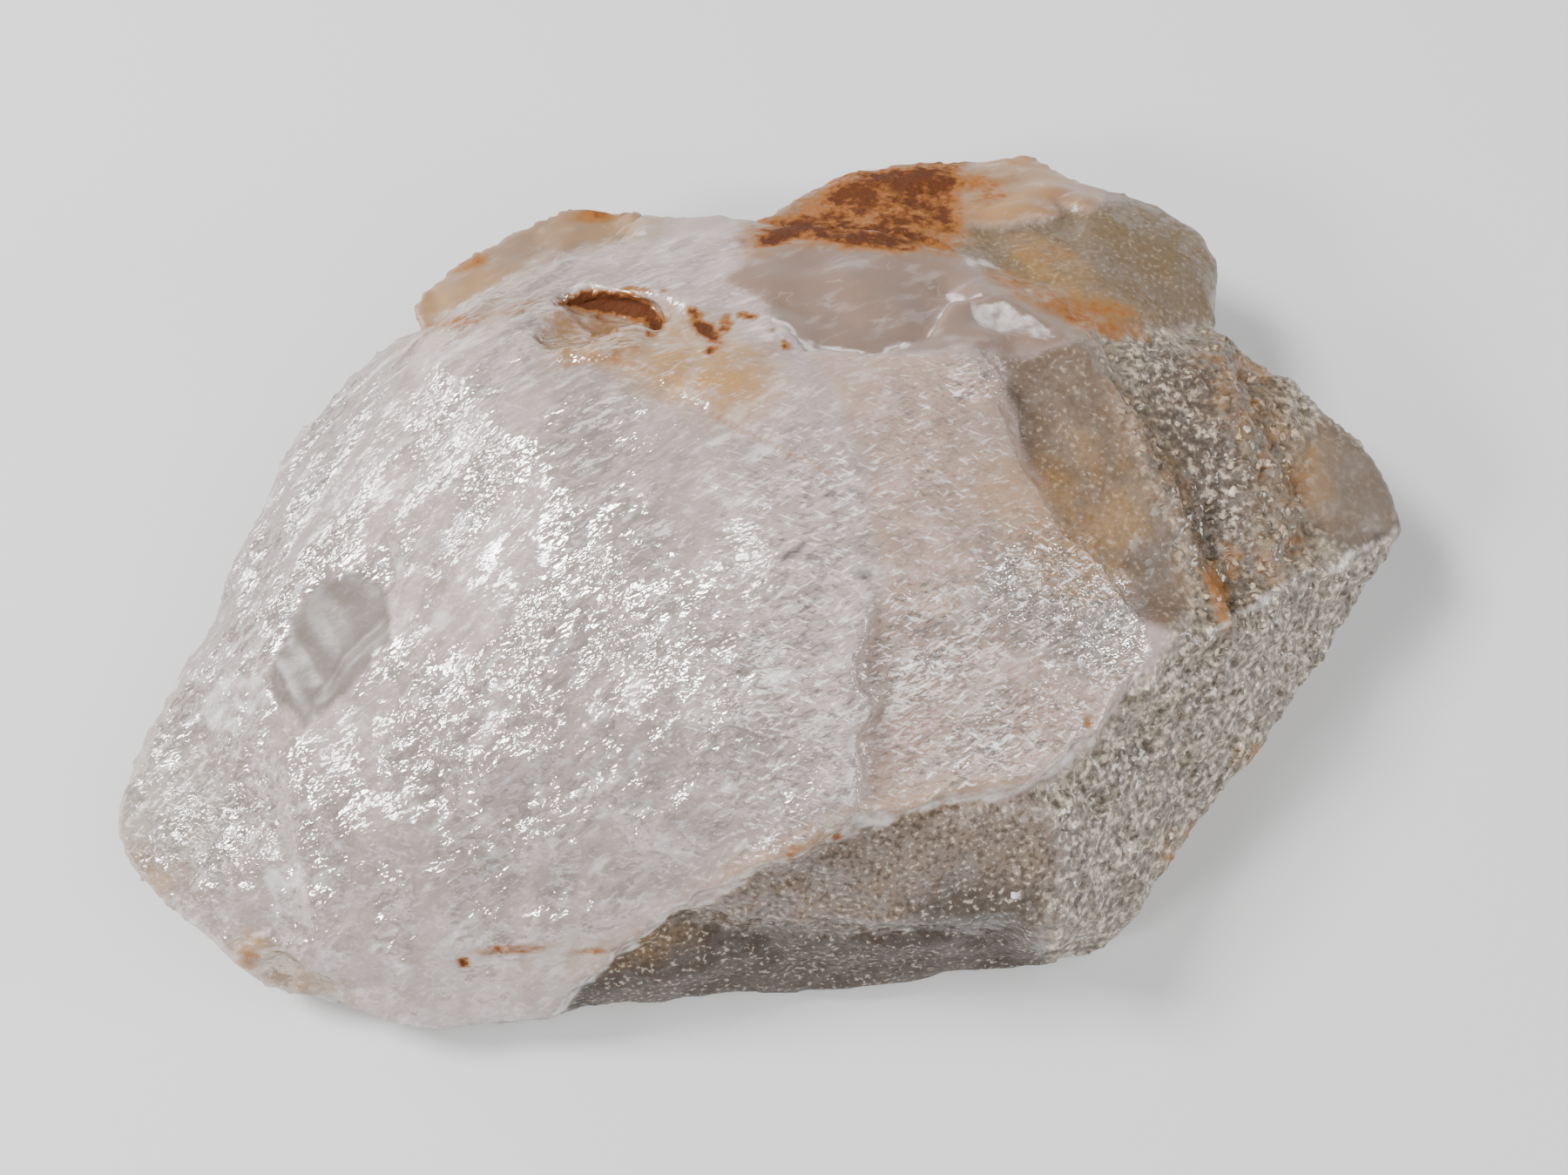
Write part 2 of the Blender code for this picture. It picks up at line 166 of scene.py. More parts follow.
# Lines that steps, cracks and crests follow.
LINES = {
    "crack": [
        (625, 380), (628, 402), (650, 420), (682, 412), (712, 414), (742, 424), (772, 446),
        (795, 462), (850, 494), (905, 520), (955, 545),
    ],
    "plate_edge": [
        (1118, 388), (1150, 425), (1163, 480), (1176, 520), (1204, 572), (1230, 605),
        (1262, 645), (1302, 688), (1322, 730),
    ],
    "dome_foot": [
        (628, 1166), (700, 1106), (765, 1052), (870, 1003), (990, 940), (1090, 923),
        (1183, 899), (1255, 848), (1305, 775),
    ],
    "dome_lip": [(1010, 690), (985, 750), (1002, 805), (984, 858), (998, 905), (985, 945)],
    "front_break": [
        (745, 1056), (830, 1068), (930, 1070), (1040, 1062), (1120, 1064), (1185, 1052),
    ],
    "inner_crest": [
        (1245, 372), (1275, 440), (1318, 500), (1345, 560), (1378, 620), (1402, 690),
        (1412, 735),
    ],
    "outer_crest": [(1395, 395), (1432, 470), (1470, 540), (1485, 600), (1470, 660)],
    "back_crack": [(1105, 262), (1140, 256), (1165, 252), (1200, 242), (1245, 233)],
    "facet_ledge": [
        (880, 360), (905, 372), (930, 395), (965, 402), (1000, 412), (1030, 402), (1060, 386),
        (1078, 362), (1092, 348), (1130, 336),
    ],
    "white_chip": [(1118, 345), (1128, 372), (1150, 385), (1185, 378), (1215, 384)],
    "rim_foot": [
        (748, 262), (690, 278), (640, 298), (600, 314), (560, 335), (520, 360), (470, 385),
    ],
    "rear_edge": [
        (868, 283), (960, 265), (1030, 274), (1090, 290), (1150, 314), (1200, 340), (1250, 380),
    ],
    "spine": [(1605, 605), (1545, 638), (1500, 662), (1450, 690), (1405, 722), (1330, 742)],
}

# Fresh steps along those lines: drop on the right-hand side (left when negative), half the width
# of the step, how far the lowered ground reaches, and how soon the ends fade in.
STEPS = {
    "plate_edge": (-0.35, 0.16, 1.6, 1.5),
    "dome_lip": (-0.28, 0.14, 2.5, 2.0),
    "dome_foot": (0.3, 0.16, 1.5, 1.5),
    "front_break": (0.3, 0.16, 1.5, 1.5),
    "facet_ledge": (-0.3, 0.14, 1.5, 1.5),
    "white_chip": (-0.2, 0.12, 1.0, 0.8),
    "rim_foot": (0.35, 0.2, 1.5, 1.5),
    "back_crack": (0.3, 0.14, 1.2, 1.0),
    "crack": (0.12, 0.1, 1.0, 0.8),
    "rear_edge": (-0.2, 0.14, 1.2, 1.5),
    "inner_crest": (-0.25, 0.2, 1.2, 1.5),
    "outer_crest": (-0.2, 0.2, 1.2, 1.5),
}

# Colours painted over the dome's, in this order, and how soft the edge of each is.
PAINTED = {
    "sugar": 0.5, "wall": 0.5, "low_wall": 0.5, "wall_shade": 0.8, "plate": 0.5,
    "plate_shade": 1.2, "band": 0.4, "rim": 0.5, "back_facet": 0.25, "rust_wall": 0.4,
    "green": 0.3, "cream": 0.3, "trough": 0.8, "tip_facet": 0.5, "shaded_left_flank": 1.8,
    "cheek": 0.15, "tip": 1.0, "low_tip": 0.4,
}

# How milky, stained, dull and gritty whole areas are, and how white the painted glint
# patches are. A stain also has a softness, or along a line a width.
MILKY = {"dome": 1.0, "plate": 0.65, "cream": 0.7, "rim": 0.45, "back_facet": 0.5, "wall": 0.3}
STAINED = {"pit": (1.1, 0.3), "rust_wall": (0.86, 1.4), "lobe": (0.34, 0.3)}
STAINED_LINES = {"inner_crest": (0.16, 1.2), "outer_crest": (0.2, 2.2)}
PAINTED_GLINT_PATCHES = {"painted_glint_patch": 0.5, "low_painted_glint_patch": 0.5}
DULL = {"band": 1.0, "tip_facet": 1.0}
GRITTY = {"wall": 1.0, "low_wall": 0.8, "band": 0.45, "green": 0.35, "rust_wall": 0.35}

# Pale edges: how pale, and how wide.
PALE_LINES = {
    "facet_ledge": (0.7, 0.18), "plate_edge": (0.4, 0.2),
    "dome_foot": (0.55, 0.35), "rim_foot": (0.4, 0.3), "spine": (0.45, 0.5),
    "front_break": (0.4, 0.15), "rear_edge": (0.5, 0.2),
}

# Iron stains: middle, half sizes across and down, turn in degrees, and strength, mostly 0 to 1.
STAINS = [
    (812, 380, 26, 10, 40, 1.0), (797, 360, 12, 8, 30, 0.9), (832, 372, 10, 12, 0, 0.9),
    (815, 402, 7, 6, 0, 0.9), (857, 362, 14, 4, 10, 0.8), (886, 378, 6, 4, 0, 0.8),
    (902, 396, 7, 5, 0, 0.9), (730, 332, 20, 3, 5, 0.8), (762, 334, 6, 3, 0, 0.7),
    (745, 384, 10, 5, 20, 0.8), (1225, 655, 40, 26, 40, 0.22), (1060, 210, 55, 22, -5, 1.05),
    (1000, 270, 110, 20, 4, 0.95), (900, 268, 52, 13, -18, 1.0),
    (1010, 238, 70, 34, -10, 0.62), (1145, 218, 40, 14, -25, 0.5), (1120, 205, 20, 14, 0, 0.6),
    (1245, 362, 72, 20, 20, 0.6), (1170, 332, 52, 14, 28, 0.5), (1275, 358, 30, 14, 5, 0.6),
    (1215, 292, 34, 10, 20, 0.34), (1180, 290, 24, 8, 10, 0.3), (695, 245, 46, 10, -8, 0.66),
    (540, 302, 26, 8, -20, 0.6), (520, 372, 46, 9, -12, 0.5), (600, 352, 34, 9, -15, 0.42),
    (485, 340, 14, 8, 0, 0.4), (1398, 682, 13, 42, -12, 0.54), (1415, 640, 12, 26, 0, 0.44),
    (1452, 868, 20, 16, -40, 0.55), (1372, 960, 14, 18, 0, 0.5), (1346, 990, 10, 12, 0, 0.6),
    (1322, 1036, 10, 8, 0, 0.5), (1250, 828, 8, 9, 0, 0.6), (532, 1104, 10, 8, -20, 0.9),
    (590, 1090, 60, 7, -4, 0.6), (680, 1092, 30, 6, -4, 0.5), (286, 1102, 12, 12, 0, 0.5),
    (930, 968, 60, 8, -24, 0.4), (905, 984, 8, 4, 0, 0.7), (960, 962, 8, 4, 0, 0.7),
    (1495, 560, 16, 40, -20, 0.26), (1440, 420, 30, 24, 30, 0.3),
]

# Dark inclusions: the same measures.
FLECKS = [
    (912, 633, 18, 5, -22, 1.0), (935, 641, 12, 5, 28, 1.0), (992, 660, 13, 5, 18, 0.9),
    (921, 731, 10, 5, -50, 0.9), (952, 568, 9, 4, 20, 0.7), (866, 604, 8, 5, 0, 0.6),
    (930, 742, 28, 6, 0, 0.4), (985, 566, 12, 4, 0, 0.5), (1582, 618, 10, 5, -60, 0.8),
    (637, 1010, 28, 26, 0, 0.3), (1290, 770, 6, 3, -40, 0.7), (1248, 772, 5, 3, -30, 0.5),
]

# Where the rippled skin is liveliest: the same measures.
RIPPLED = [
    (655, 560, 120, 120, 0, 0.9), (690, 690, 100, 120, 0, 1.0), (620, 650, 80, 110, 0, 0.8),
    (455, 500, 95, 42, -58, 0.8), (400, 640, 140, 40, -55, 0.7), (520, 470, 70, 40, -50, 0.7),
    (335, 570, 110, 40, -58, 1.1), (300, 690, 90, 40, -60, 1.1), (590, 400, 60, 34, -30, 0.5),
    (368, 490, 36, 50, 0, 1.1),
    (480, 900, 150, 70, -50, 0.9), (430, 840, 110, 55, -52, 0.8), (560, 960, 110, 80, 0, 0.8),
    (700, 870, 120, 110, 0, 0.7), (640, 1040, 130, 50, -20, 0.6), (820, 820, 90, 120, 0, 0.45),
    (780, 760, 70, 60, 0, 0.6), (330, 960, 90, 60, -40, 0.6), (420, 1060, 110, 50, 0, 0.5),
    (265, 805, 45, 38, -40, 1.0), (325, 1030, 28, 38, 0, 1.0), (400, 655, 40, 22, -45, 1.0),
    (930, 900, 60, 50, 0, 0.6), (1235, 685, 110, 55, 25, 1.0), (1120, 840, 60, 36, 40, 0.8),
    (1100, 780, 110, 90, 0, 0.5), (1120, 420, 24, 20, 0, 0.4), (1290, 690, 22, 26, 0, 0.8),
]

# Where the smooth skin breaks up into flakes: the same measures.
FLAKY = [
    (900, 800, 130, 200, 0, 0.55), (930, 600, 110, 120, 0, 0.45), (240, 930, 90, 90, 0, 0.5),
    (1225, 690, 120, 80, 25, 1.0), (1130, 850, 130, 60, -20, 0.8), (1060, 740, 90, 90, 0, 0.7),
    (1060, 540, 90, 130, 0, 0.35), (1120, 430, 50, 30, 0, 0.7),
]

# Yellow tints: the same measures.
TINTED = [
    (800, 420, 110, 58, 20, 1.1), (690, 392, 80, 36, 0, 1.1), (1180, 570, 70, 50, 10, 0.5),
    (1225, 625, 60, 60, 40, 0.8), (1255, 665, 45, 40, 0, 0.8), (1285, 600, 34, 44, 0, 0.6),
    (1245, 520, 24, 50, -30, 0.3), (1320, 540, 26, 90, -28, 0.35), (1375, 660, 24, 60, -25, 0.3),
    (1200, 300, 60, 24, 25, 0.5), (1240, 350, 90, 26, 20, 0.6), (1440, 430, 46, 60, -30, 0.6),
    (1485, 530, 44, 80, -20, 0.5), (290, 1100, 36, 26, 10, 0.9), (350, 1130, 60, 24, 22, 0.5),
    (1440, 882, 26, 34, -40, 0.9), (1350, 985, 24, 44, -40, 0.7), (700, 262, 80, 26, -8, 0.4),
    (530, 350, 90, 40, -20, 0.45), (1150, 215, 80, 34, -10, 0.5), (680, 1096, 120, 26, -12, 0.4),
    (175, 1010, 50, 40, 20, 0.5), (880, 985, 130, 18, -28, 0.5), (1070, 920, 110, 16, -10, 0.4),
]

# Low ridges along lines: height and half width.
RIDGES = {"spine": (0.3, 0.5), "inner_crest": (0.18, 0.6), "outer_crest": (0.18, 0.8)}

# Slanting marks: length, width and height in millimetres, then turn in degrees. The first four
# are in the skin, and the others in the material.
GLOSS_BANDS = ((7.0, 1.8, 4.0), 58)
SWELLS = ((9.0, 2.4, 4.0), 58)
CRESTS = ((2.6, 1.0, 1.2), 27)
PLATE_STREAKS = ((3.2, 0.8, 0.9), 4)
BEADS = ((0.8, 0.34, 0.5), 50)
WAVES = ((1.3, 0.5, 0.7), 27)
FLAKES = ((0.8, 0.38, 0.6), 12)
SCRATCHES = ((1.2, 0.4, 0.6), 6)
SMOKE_MARKS = ((1.2, 0.5, 0.8), 30)
WISPS = ((2.4, 0.8, 1.4), 30)
VEINS = ((2.2, 1.1, 1.5), 35)
STREAKS = ((0.8, 0.2, 0.4), 32)
NEEDLES = ((0.8, 0.2, 0.4), -18)

# Heights of the material's fine relief, in millimetres.
RELIEF = {
    "strokes": 0.26, "beads": 0.08, "waves": 0.2, "crystals": 0.16, "crest_crystals": 0.14,
    "facets": 0.2, "flakes": 0.2, "scratches": 0.12, "rust": 0.14,
}

# Colours of iron stain: the levels from which and up to which each comes in, and how strongly.
IRON = {"tan": (0.05, 0.5, 0.85), "orange": (0.4, 0.7, 0.9), "rust": (0.66, 0.95, 1.0)}

# Lights: compass direction and height in degrees, then distance and width in metres.
LIGHTS = {
    "key": (-106, 52, 0.45, 0.13), "side": (-119, 10, 0.45, 0.12), "front": (-57, 34, 0.45, 0.1),
    "right": (82, 14, 0.45, 0.09), "fill": (60, 66, 0.5, 0.4),
}


def length_setting(name, description, size):
    return FloatProperty(
        name=name, description=description, default=size * MM, unit="LENGTH", precision=5
    )


def power_setting(name, description, watts):
    return FloatProperty(name=name, description=description, default=watts, unit="POWER")


def paint(name, description, colour):
    return FloatVectorProperty(
        name=name, description=description, default=colour, min=0, max=1, subtype="COLOR"
    )


class StoneSizes(bpy.types.PropertyGroup):
    """Sizes of the stone's fine relief."""

    skin_step: length_setting("Skin step", "Spacing of the points of the fine skin", 0.29)
    smoothing: IntProperty(
        name="Smoothing", description="How often the skin is smoothed before it is worked",
        default=3, min=0, max=20,
    )
    ripple_height: length_setting("Ripple height", "Height of the dome's broad ripples", 0.07)
    swell_height: length_setting("Swell height", "Height of the dome's broad swells", 0.16)
    streak_height: length_setting("Streak height", "Height of the plate's streaks", 0.03)
    grain_size: length_setting("Grain size", "Width of the sugary side's coarse grains", 1.2)
    grain_height: length_setting("Grain height", "Height of the coarse grains", 0.26)
    chip_height: length_setting("Chip height", "Height of the chips round the outline", 0.22)
    pit_depth: length_setting("Pit depth", "How far the rusty pit goes in beyond the solid", 0.8)
    lobe_height: length_setting("Lobe height", "Height of the lobe beside the pit", 0.25)
    bead_size: length_setting("Bead size", "Width of the smallest crystals", 0.72)
    glint_length: length_setting("Glint length", "Length of one glossy ripple", 1.35)
    glint_width: length_setting("Glint width", "Width of one glossy ripple", 0.5)


class StoneColours(bpy.types.PropertyGroup):
    """Colours of the stone's surfaces, most of them named as in AREAS."""

    dome: paint("Dome", "Cloudy domed top", (0.405, 0.315, 0.3))
    plate: paint("Plate", "Broken plate beside the dome", (0.415, 0.285, 0.225))
    band: paint("Band", "Smooth band below the plate's edge", (0.125, 0.08, 0.05))
    back_facet: paint("Back facet", "Mauve facets behind the dome", (0.22, 0.14, 0.105))
    rim: paint("Rim", "Thin clear rim at the back left", (0.24, 0.155, 0.1))
    rust_wall: paint("Rust wall", "Stained wall at the back", (0.11, 0.045, 0.016))
    cream: paint("Cream", "Cream face at the top of the back", (0.3, 0.16, 0.075))
    green: paint("Green", "Greenish clear facet at the back right", (0.145, 0.098, 0.053))
    # Painted shade: darker than the dome's own colour, to shade the steep left side.
    shaded_left_flank: paint("Left flank", "Steep left side of the dome", (0.26, 0.2, 0.187))
    cheek: paint("Cheek", "Clear facet on the left of the dome", (0.125, 0.098, 0.082))
    tip: paint("Tip", "Clear left tip", (0.32, 0.275, 0.24))
    low_tip: paint("Low tip", "Clear facet below the left tip", (0.26, 0.19, 0.15))
    sugar: paint("Sugar", "Grainy right side", (0.48, 0.4, 0.31))
    wall: paint("Wall", "Upper part of the front wall", (0.18, 0.13, 0.098))
    # Partly the wall's own dark smoky colour, partly painted shade: painted darker to offset the
    # light the pale floor throws up onto it.
    low_wall: paint("Low wall", "Dark lower part of the front wall", (0.055, 0.04, 0.031))
    plate_shade: paint("Plate shade", "Smoke in the plate", (0.3, 0.23, 0.195))
    wall_shade: paint("Wall shade", "Dark smoke in the wall", (0.075, 0.058, 0.046))
    trough: paint("Trough", "Dark trough between the two crests", (0.22, 0.16, 0.12))
    tip_facet: paint("Tip facet", "Clear facet at the right tip", (0.13, 0.094, 0.068))
    # Also the colour of the painted glint highlights on the two glint patches.
    veil: paint("Veil", "White veils and fresh chips", (0.78, 0.75, 0.74))
    grain: paint("Grain", "Pale crystals of the sugary side", (0.77, 0.67, 0.54))
    crest_grain: paint("Crest grain", "Yellow crystals of the crests", (0.6, 0.41, 0.2))
    tan: paint("Tan", "The faintest iron stain", (0.24, 0.12, 0.045))
    ochre: paint("Ochre", "Yellow tint in the clear stone", (0.36, 0.19, 0.052))
    orange: paint("Orange", "The middling iron stain", (0.25, 0.088, 0.02))
    rust: paint("Rust", "The deepest iron stain", (0.082, 0.024, 0.007))
    inclusion: paint("Inclusion", "Dark needles in the stone", (0.05, 0.045, 0.04))
    # Used as the smoke colour and also as painted shade in the folds between the glossy ripples.
    smoke_and_fold_shade: paint("Dusk", "Smoke inside the stone and in its folds", (0.17, 0.14, 0.12))
    # Partly dark gaps, partly painted shade in the hollows between the sugary grains.
    gap: paint("Gap", "Dark gaps between grains", (0.06, 0.047, 0.036))


class StageSettings(bpy.types.PropertyGroup):
    """Floor and lights."""

    floor_radius: FloatProperty(
        name="Floor radius", description="Radius of the round floor", default=1.5, unit="LENGTH",
    )
    floor_colour: paint("Floor colour", "Colour of the floor", (0.62, 0.62, 0.62))
    key_power: power_setting("Key power", "Power of the light on the left", 3.0)
    side_power: power_setting("Side power", "Power of the low light behind on the left", 1.0)
    front_power: power_setting("Front power", "Power of the light in front on the left", 1.3)
    right_power: power_setting("Right power", "Power of the low light on the right", 1.0)
    fill_power: power_setting("Fill power", "Power of the soft light above", 1.6)
    sky_strength: FloatProperty(
        name="Sky strength", description="Strength of the even light all round", default=0.28,
    )


# ---------- the sketch


def sight():
    """The viewing point and its directions right, up and ahead, in millimetres."""
    right = np.array((1, 0, 0))
    up = np.array((0, math.sin(SIGHT_FALL), math.cos(SIGHT_FALL)))
    ahead = np.array((0, math.cos(SIGHT_FALL), -math.sin(SIGHT_FALL)))
    return SIGHT_TARGET - SIGHT_DISTANCE * ahead, right, up, ahead


def on_sketch(points):
    """Where each point falls on the sketch, in millimetres across and up from its middle."""
    eye, right, up, ahead = sight()
    offsets = points - eye
    flat = np.stack([offsets @ right, offsets @ up], 1)
    return FRAME_DISTANCE / FRAME_UNITS_PER_MM * flat / (offsets @ ahead)[:, None]


def sketch_line(frame_points):
    """The same measure for points given in frame units."""
    return (np.array(frame_points) - FRAME_MIDDLE) * (1, -1) / FRAME_UNITS_PER_MM


def turned(points, degrees):
    """How far each point lies along and across a direction."""
    angle = math.radians(degrees)
    along = points[:, 0] * math.cos(angle) + points[:, 1] * math.sin(angle)
    return along, points[:, 1] * math.cos(angle) - points[:, 0] * math.sin(angle)


def smoothstep(low, high, value):
    share = np.clip((value - low) / (high - low), 0, 1)
    return share * share * (3 - 2 * share)


def lumps(points, size, octaves=3, seed=0):
    """Soft random heights from -1 to 1, with lumps of this size."""
    shift = SEED + Vector((seed * 7.7, seed * 3.1, -seed * 5.3))
    heights = [noise.fractal(Vector(p) / size + shift, 1.0, 2.1, octaves) for p in points]
    return np.array(heights)


def shards(points, size, seed=0):
    """Heights of small flat faces, each about this size and tilted its own way."""
    shift = SEED + Vector((seed * 2.3, -seed * 6.1, seed * 4.9))
    heights = np.empty(len(points))
    for index, point in enumerate(points):
        place = Vector(point) / size + shift
        middle = noise.voronoi(place)[1][0]
        tilt = noise.cell_vector(middle * 7.3) - Vector((0.5, 0.5, 0.5))
        heights[index] = 2 * tilt.dot(place - middle)
    return heights


def to_stretch(points, start, end):
    """The stretch as a step, each point seen from its start, and how far off each point is."""
    step = end - start
    to_point = points - start
    share = np.clip(to_point @ step / (step @ step), 0, 1)
    return step, to_point, np.hypot(*(to_point - share[:, None] * step).T)


def beside_line(points, line):
    """How far each point lies to the right of a line, how far along its chord, and the chord."""
    nearest = np.full(len(points), np.inf)
    side = np.zeros(len(points))
    for start, end in zip(line[:-1], line[1:]):
        step, to_point, away = to_stretch(points, start, end)
        turn = step[1] * to_point[:, 0] - step[0] * to_point[:, 1]
        side = np.where(away < nearest, np.sign(turn) * away, side)
        nearest = np.minimum(away, nearest)
    chord = line[-1] - line[0]
    length = max(np.hypot(*chord), 1e-6)
    return side, (points - line[0]) @ chord / length, length


def end_taper(along, length, taper):
    return smoothstep(0, taper, along) * smoothstep(0, taper, length - along)


def inside(points, name, soft):
    """1 inside one of the named areas, 0 outside, soft across its edge (in millimetres)."""
    ring = sketch_line(AREAS[name])
    within = np.zeros(len(points), bool)
    nearest = np.full(len(points), np.inf)
    for start, end in zip(ring, np.roll(ring, -1, axis=0)):
        step, _, away = to_stretch(points, start, end)
        nearest = np.minimum(nearest, away)
        spans = (start[1] > points[:, 1]) != (end[1] > points[:, 1])
        across = start[0] + step[0] * (points[:, 1] - start[1]) / (step[1] if step[1] else 1e-9)
        within ^= spans & (points[:, 0] < across)
    return smoothstep(-soft, soft, np.where(within, nearest, -nearest))


def near_line(points, name, width):
    """1 on one of the named lines, fading out over this width."""
    side, along, length = beside_line(points, sketch_line(LINES[name]))
    return np.exp(-((side / width) ** 2)) * end_taper(along + width, length + 2 * width, width)


def blots(points, spots, sharp=1.0):
    """The strongest of a list of oval spots at each point."""
    strongest = np.zeros(len(points))
    for *middle, half_across, half_down, turn, strength in spots:
        across, upward = turned(points - sketch_line([middle])[0], -turn)
        radii = np.array((half_across, half_down)) / FRAME_UNITS_PER_MM
        away = np.hypot(across / radii[0], upward / radii[1])
        fading = 1 - smoothstep(1 - 0.6 / sharp, 1 + 0.4 / sharp, away)
        strongest = np.maximum(strongest, strength * fading)
    return strongest


# ---------- the fine skin


def apply_modifiers(obj):
    graph = bpy.context.evaluated_depsgraph_get()
    mesh = bpy.data.meshes.new_from_object(obj.evaluated_get(graph))
    obj.modifiers.clear()
    obj.data = mesh


def fine_copy(node, settings):
    """A copy of the CAD node with small even faces, smoothed."""
    bm = bmesh.new()
    bm.from_mesh(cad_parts[node].data)
    bmesh.ops.remove_doubles(bm, verts=bm.verts, dist=0.001 * MM)
    mesh = bpy.data.meshes.new("quartz_stone")
    bm.to_mesh(mesh)
    bm.free()
    stone = bpy.data.objects.new("quartz_stone", mesh)
    bpy.context.scene.collection.objects.link(stone)
    remesh = stone.modifiers.new("fine", "REMESH")
    remesh.mode = "VOXEL"
    remesh.voxel_size = settings.skin_step
    smooth = stone.modifiers.new("smooth", "SMOOTH")
    smooth.iterations = settings.smoothing
    apply_modifiers(stone)
    return stone


def read_skin(stone):
    """The points in millimetres and the directions that they face."""
    count = len(stone.data.vertices)
    points = np.empty(count * 3)
    normals = np.empty(count * 3)
    stone.data.vertices.foreach_get("co", points)
    stone.data.vertices.foreach_get("normal", normals)
    return points.reshape(-1, 3) / MM, normals.reshape(-1, 3)


def drawn_places(points):
    """Places on the sketch, wandering a little, so that no drawn line is straight."""
    sketched = points + SKETCH_ORIGIN
    wander = np.stack([lumps(sketched, 2.2, 2, 1), lumps(sketched, 2.2, 2, 2)], 1)
    return on_sketch(points) + 0.55 * wander


def slanting_lumps(points, marks, seed):
    """Soft random heights from -1 to 1 in long marks, all turned the same way."""
    lengths, degrees = marks
    places = np.stack([*turned(points, degrees), points[:, 2]], 1)
    return lumps(places / lengths, 1.0, 2, seed)


def joined(facing, seen, hidden):
    """What the sketch sees, and what stands in for it where the sketch doesn't see."""
    return seen * facing + hidden * (1 - facing)


def sugar_share(points, drawn, facing):
    """How sugary the skin is: the drawn areas where the sketch sees it, and patches elsewhere."""
    seen = inside(drawn, "sugar", 0.9) * (1 - 0.9 * inside(drawn, "tip_facet", 1.0))
    return joined(facing, seen, 0.8 * smoothstep(-0.1, 0.4, lumps(points, 11.0, 2, 21)))


def ripple_share(points, drawn):
    """How lively the glossy ripples are: in slanting bands, strongest in the rippled spots."""
    bands = smoothstep(-0.35, 0.25, slanting_lumps(points, GLOSS_BANDS, 31))
    milky = np.maximum(inside(drawn, "dome", 0.6), 0.8 * inside(drawn, "plate", 0.6))
    milky *= 1 - 0.9 * inside(drawn, "cheek", 0.3)
    leftward = smoothstep(2.0, -14.0, drawn[:, 0])
    lively = blots(drawn, RIPPLED) * (0.15 + 0.85 * bands)
    return np.clip(milky * (0.2 + 0.45 * leftward * bands + lively), 0, 1)


def ledge_heights(drawn, sizes):
    """Steps, ridges, the pit and its lobe, in millimetres."""
    height = np.zeros(len(drawn))
    for name, (drop, edge, fade, taper) in STEPS.items():
        side, along, length = beside_line(drawn, sketch_line(LINES[name]))
        side = side * np.sign(drop)
        lowered = smoothstep(-edge, edge, side) * np.exp(-((np.maximum(side, 0) / fade) ** 2))
        height -= abs(drop) * lowered * end_taper(along, length, taper)
    for name, (rise, width) in RIDGES.items():
        height += rise * near_line(drawn, name, width)
    height -= sizes.pit_depth / MM * inside(drawn, "pit", 0.2)
    return height + sizes.lobe_height / MM * inside(drawn, "lobe", 0.5)


def wave_heights(points, drawn, sizes):
    """Ripples and broad swells of the dome and streaks of the plate, in millimetres."""
    crests = 1 - 2 * np.abs(slanting_lumps(points, CRESTS, 32))
    height = sizes.ripple_height / MM * crests * ripple_share(points, drawn)
    rolling = inside(drawn, "dome", 1.0) * (1 - inside(drawn, "cheek", 0.6))
    height += sizes.swell_height / MM * slanting_lumps(points, SWELLS, 34) * rolling
    streaks = slanting_lumps(points, PLATE_STREAKS, 33) * inside(drawn, "plate", 0.5)
    return height + sizes.streak_height / MM * streaks


def grain_heights(points, sugar, sizes):
    """Coarse grains of the sugary skin, in millimetres."""
    grainy = sugar > 0.02
    size = sizes.grain_size / MM
    grains = np.zeros(len(points))
    grains[grainy] = shards(points[grainy], size, 41) + 0.5 * shards(points[grainy], size / 2, 42)
    return sizes.grain_height / MM * grains * sugar


def chip_heights(points, drawn, towards, sizes):
    """Chips round the outline, where the skin is seen edge on, in millimetres."""
    edge_on = 1 - smoothstep(0.0, 0.5, np.abs(towards))
    smooth_foot = 1 - 0.9 * inside(drawn, "low_wall", 1.0)
    upright = points * (1, 1, 0.4)
    chips = shards(upright, 1.7, 51) + 0.6 * shards(upright, 0.8, 52)
    return sizes.chip_height / MM * chips * edge_on * smooth_foot


def skin_heights(points, normals, sizes):
    """How far the skin moves outward at each point, in millimetres."""
    towards = -(normals @ sight()[3])
    facing = smoothstep(0.0, 0.3, towards)
    drawn = drawn_places(points)
    sugar = sugar_share(points, drawn, facing)
    height = (ledge_heights(drawn, sizes) + wave_heights(points, drawn, sizes)) * facing
    height += grain_heights(points, sugar, sizes)
    return height + chip_heights(points, drawn, towards, sizes) * (1 - 0.6 * sugar)


def work_skin(stone, settings):
    """Steps, ripples and roughens the skin, and keeps the resting face flat."""
    points, normals = read_skin(stone)
    above_foot = smoothstep(0.05, 0.9, points[:, 2])
    moved = points + normals * (skin_heights(points, normals, settings) * above_foot)[:, None]
    resting = points[:, 2] < 0.03
    moved[resting] = points[resting]
    moved[:, 2] = np.where(resting, 0, np.maximum(moved[:, 2], 0))
    stone.data.vertices.foreach_set("co", (moved * MM).ravel())
    stone.data.update()


def close_foot(stone):
    """One flat face in place of the many small ones that the stone rests on."""
    bm = bmesh.new()
    bm.from_mesh(stone.data)
    foot = [face for face in bm.faces if all(vert.co.z < 0.001 * MM for vert in face.verts)]
    bmesh.ops.dissolve_faces(bm, faces=foot, use_verts=True)
    bmesh.ops.triangulate(bm, faces=[face for face in bm.faces if len(face.verts) > 4])
    for face in bm.faces:
        face.smooth = face.normal.z > -0.999
    bm.to_mesh(stone.data)
    bm.free()


